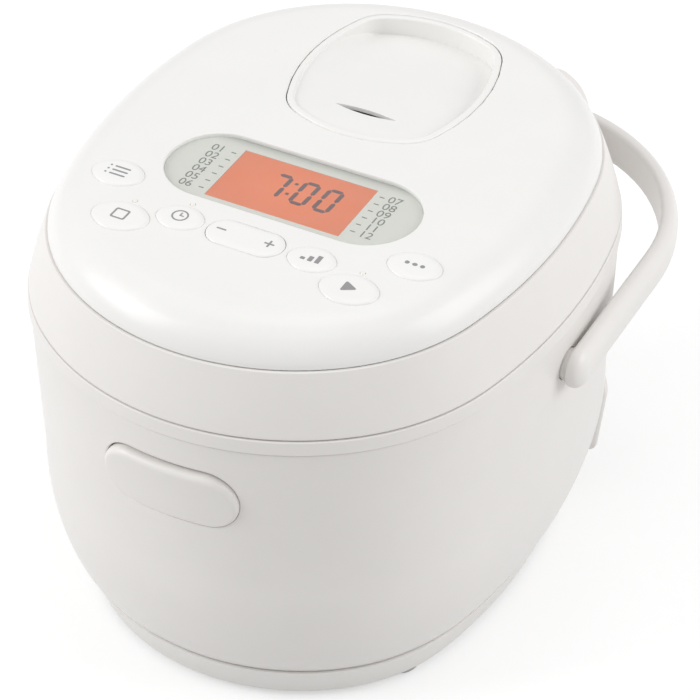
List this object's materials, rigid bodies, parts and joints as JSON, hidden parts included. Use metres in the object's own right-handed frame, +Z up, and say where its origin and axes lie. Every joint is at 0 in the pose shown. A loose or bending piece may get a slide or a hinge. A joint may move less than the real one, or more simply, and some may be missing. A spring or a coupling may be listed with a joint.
{
  "type": "rice cooker",
  "caption": "Small household rice cooker with a rounded egg-shaped body, hinged lid with display and keys, removable steam cap, inner pot, lid release button and swinging carrying handle.",
  "frame": {"origin": "centre of the overall box at the floor, under the feet", "axes": "+Z up; -Y is the front with the release button and keys; +X is to the right when seen from the front"},
  "size_m": [0.2478, 0.3085, 0.206],
  "materials": {
    "white_gloss": "satin gloss white",
    "white_panel": "gloss white",
    "white_matte": "matte white",
    "key_white": "satin white",
    "foot_rubber": "grey rubber",
    "silicone": "grey silicone",
    "screw_steel": "zinc plated",
    "spring_steel": "bright wire",
    "chamber_aluminium": "drawn",
    "heater_aluminium": "cast, turned top",
    "pot_coating": "dark non-stick coating",
    "inner_lid_aluminium": "satin anodised",
    "inlet_black": "matte black",
    "pin_brass": "plated pin",
    "board_green": "solder mask",
    "component_dark": "moulded",
    "display_glass": "clear cover",
    "legend_grey": "printed grey plate",
    "display_orange": "lit display",
    "lamp_clear": "milky",
    "cup_clear": "milky"
  },
  "bodies": {
    "body": {"body_shell": "white_gloss", "base_cover": "white_matte", "feet": "foot_rubber", "base_screws": "screw_steel", "shoulder_ring": "white_gloss", "pot_chamber": "chamber_aluminium", "heater_plate": "heater_aluminium", "heater_supports": "screw_steel", "inner_pot": "pot_coating", "sensor_spring": "spring_steel", "inlet_socket": "inlet_black", "inlet_pins": "pin_brass", "power_board": "board_green", "board_parts": "component_dark", "hinge_housing": "white_gloss", "hinge_pin": "screw_steel", "hinge_spring": "spring_steel", "latch_pin": "screw_steel", "latch_spring": "spring_steel"},
    "lid": {"lid_ring": "white_gloss", "lid_top_panel": "white_panel", "lid_underplate": "white_matte", "lid_screws": "screw_steel", "inner_lid": "inner_lid_aluminium", "inner_lid_gasket": "silicone", "steam_gasket": "silicone", "lid_catch": "screw_steel", "display_window": "display_glass", "legend_plate": "legend_grey", "display_panel": "display_orange", "control_board": "board_green", "switches": "component_dark", "lamps": "lamp_clear"},
    "steam_cap_unit": {"steam_cap": "white_panel", "steam_cup": "cup_clear", "steam_seal": "silicone"},
    "release": {"release_button": "white_gloss", "latch_hook": "white_matte"},
    "carry_handle": {"handle": "white_gloss", "handle_clips": "spring_steel"},
    "sensor": {"sensor_cap": "heater_aluminium"},
    "menu_key": {"key_menu": "key_white"},
    "cancel_key": {"key_cancel": "key_white"},
    "timer_key": {"key_timer": "key_white"},
    "firmness_key": {"key_firmness": "key_white"},
    "start_key": {"key_start": "key_white"},
    "grade_key": {"key_grade": "key_white"},
    "rocker": {"time_rocker": "key_white"}
  },
  "joints": [
    {"name": "lid_hinge", "type": "hinge", "parent": "body", "child": "lid", "pos_m": [0, 0.1325, 0.166], "axis": [-1, 0, 0], "range_deg": [0, 88]},
    {"name": "handle_swing", "type": "hinge", "parent": "body", "child": "carry_handle", "pos_m": [0, -0.013, 0.134], "axis": [1, 0, 0], "range_deg": [0, 95]},
    {"name": "release_press", "type": "hinge", "parent": "body", "child": "release", "pos_m": [0, -0.1395, 0.1085], "axis": [-1, 0, 0], "range_deg": [0, 3.5], "stiffness_Nm_per_rad": 0.6, "springref_deg": -3.44},
    {"name": "steam_cap_lift", "type": "slide", "parent": "lid", "child": "steam_cap_unit", "axis": [0, 0, 1], "range_m": [0, 0.04]},
    {"name": "sensor_slide", "type": "slide", "parent": "body", "child": "sensor", "axis": [0, 0, 1], "range_m": [-0.003, 0], "stiffness_N_per_m": 300, "springref_m": 0.003, "deforming": ["sensor_spring"]},
    {"name": "menu_press", "type": "slide", "parent": "lid", "child": "menu_key", "axis": [0, 0, -1], "range_m": [0, 0.0005], "stiffness_N_per_m": 600, "springref_m": -0.001},
    {"name": "cancel_press", "type": "slide", "parent": "lid", "child": "cancel_key", "axis": [0, 0, -1], "range_m": [0, 0.0005], "stiffness_N_per_m": 600, "springref_m": -0.001},
    {"name": "timer_press", "type": "slide", "parent": "lid", "child": "timer_key", "axis": [0, 0, -1], "range_m": [0, 0.0005], "stiffness_N_per_m": 600, "springref_m": -0.001},
    {"name": "firmness_press", "type": "slide", "parent": "lid", "child": "firmness_key", "axis": [0, 0, -1], "range_m": [0, 0.0005], "stiffness_N_per_m": 600, "springref_m": -0.001},
    {"name": "start_press", "type": "slide", "parent": "lid", "child": "start_key", "axis": [0, 0, -1], "range_m": [0, 0.0005], "stiffness_N_per_m": 600, "springref_m": -0.001},
    {"name": "grade_press", "type": "slide", "parent": "lid", "child": "grade_key", "axis": [0, 0, -1], "range_m": [0, 0.0005], "stiffness_N_per_m": 600, "springref_m": -0.001},
    {"name": "time_rock", "type": "hinge", "parent": "lid", "child": "rocker", "pos_m": [0, -0.0818, 0.2005], "axis": [0, 1, 0], "range_deg": [-1.8, 1.8], "stiffness_Nm_per_rad": 0.4}
  ]
}
